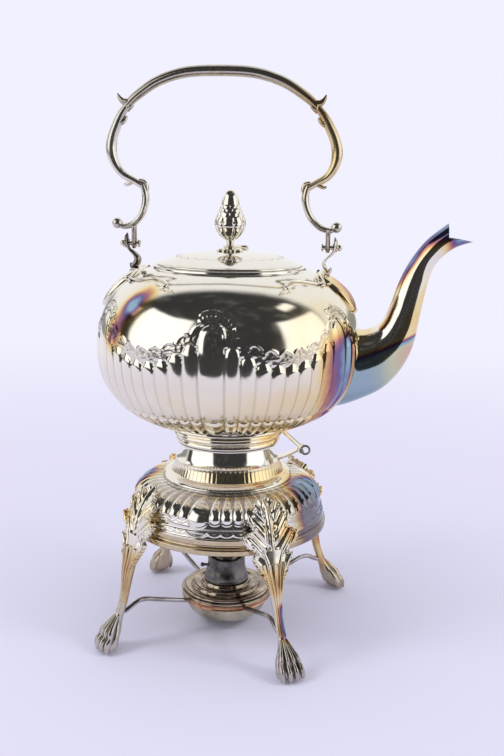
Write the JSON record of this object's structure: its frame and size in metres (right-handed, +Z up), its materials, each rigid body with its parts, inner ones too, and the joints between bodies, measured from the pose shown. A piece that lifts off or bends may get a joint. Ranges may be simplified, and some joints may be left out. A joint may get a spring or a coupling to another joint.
{
  "type": "spirit kettle",
  "caption": "Half-fluted tilting kettle with a swan-neck spout, bail handle and hinged lid, on a footed stand that holds a spirit burner.",
  "frame": {"origin": "on the floor, under the middle of the kettle's turned body", "axes": "+Z up, +X towards the spout, -Y towards the front of the kettle, the lid hinge at +Y"},
  "size_m": [0.266, 0.1915, 0.41],
  "materials": {
    "silver_plate": "polished silver plate with a warm tarnish",
    "tarnished_plate": "silver plate with a heat tarnish in straw, purple and blue",
    "dark_metal": "blackened metal, satin",
    "copper": "copper, plate worn through",
    "cotton": "woven cotton wick"
  },
  "bodies": {
    "stand": {"stand_shell": "silver_plate", "neck_ring": "silver_plate", "leg_front_right": "tarnished_plate", "leg_front_left": "tarnished_plate", "leg_rear_left": "tarnished_plate", "leg_rear_right": "tarnished_plate", "stretcher_front_right": "silver_plate", "stretcher_front_left": "silver_plate", "stretcher_rear_left": "silver_plate", "stretcher_rear_right": "silver_plate", "burner_ring": "copper", "stand_strap": "silver_plate"},
    "kettle": {"kettle_body": "silver_plate", "kettle_foot": "silver_plate", "mouth_collar": "silver_plate", "spout": "tarnished_plate", "escutcheon_left": "silver_plate", "escutcheon_right": "silver_plate", "ear_left": "silver_plate", "ear_right": "silver_plate", "handle_pin_left": "silver_plate", "handle_pin_right": "silver_plate", "body_hinge_leaf": "silver_plate", "lid_hinge_pin": "silver_plate", "kettle_strap": "silver_plate"},
    "lid_assembly": {"lid": "silver_plate", "lid_flange": "silver_plate", "finial_stem": "silver_plate", "finial_bud": "silver_plate", "finial_nut": "silver_plate", "lid_hinge_leaf": "silver_plate"},
    "bail_handle": {"handle_grip": "silver_plate", "handle_scroll_left": "silver_plate", "handle_scroll_right": "silver_plate"},
    "pull_pin": {"tilt_pin": "silver_plate"},
    "fuel_bowl": {"burner_bowl": "tarnished_plate"},
    "burner_top": {"burner_cover": "dark_metal", "wick_tube": "dark_metal", "wick": "cotton"},
    "sleeve": {"flame_sleeve": "dark_metal"}
  },
  "joints": [
    {"name": "kettle_tilt", "type": "hinge", "parent": "stand", "child": "kettle", "pos_m": [0.055, 0, 0.1388], "axis": [0, 1, 0], "range_deg": [0, 55]},
    {"name": "lid_open", "type": "hinge", "parent": "kettle", "child": "lid_assembly", "pos_m": [0, 0.0565, 0.2814], "axis": [-1, 0, 0], "range_deg": [0, 100]},
    {"name": "handle_swing", "type": "hinge", "parent": "kettle", "child": "bail_handle", "pos_m": [0, 0, 0.287], "axis": [1, 0, 0], "range_deg": [-90, 90]},
    {"name": "pin_pull", "type": "slide", "parent": "stand", "child": "pull_pin", "axis": [0, -1, 0], "range_m": [0, 0.016]},
    {"name": "bowl_lift", "type": "slide", "parent": "stand", "child": "fuel_bowl", "axis": [0, 0, 1], "range_m": [0, 0.025]},
    {"name": "burner_top_lift", "type": "slide", "parent": "fuel_bowl", "child": "burner_top", "axis": [0, 0, 1], "range_m": [0, 0.02]},
    {"name": "sleeve_turn", "type": "hinge", "parent": "burner_top", "child": "sleeve", "pos_m": [0, 0, 0.0333], "axis": [0, 0, 1], "range_deg": [0, 75]}
  ]
}
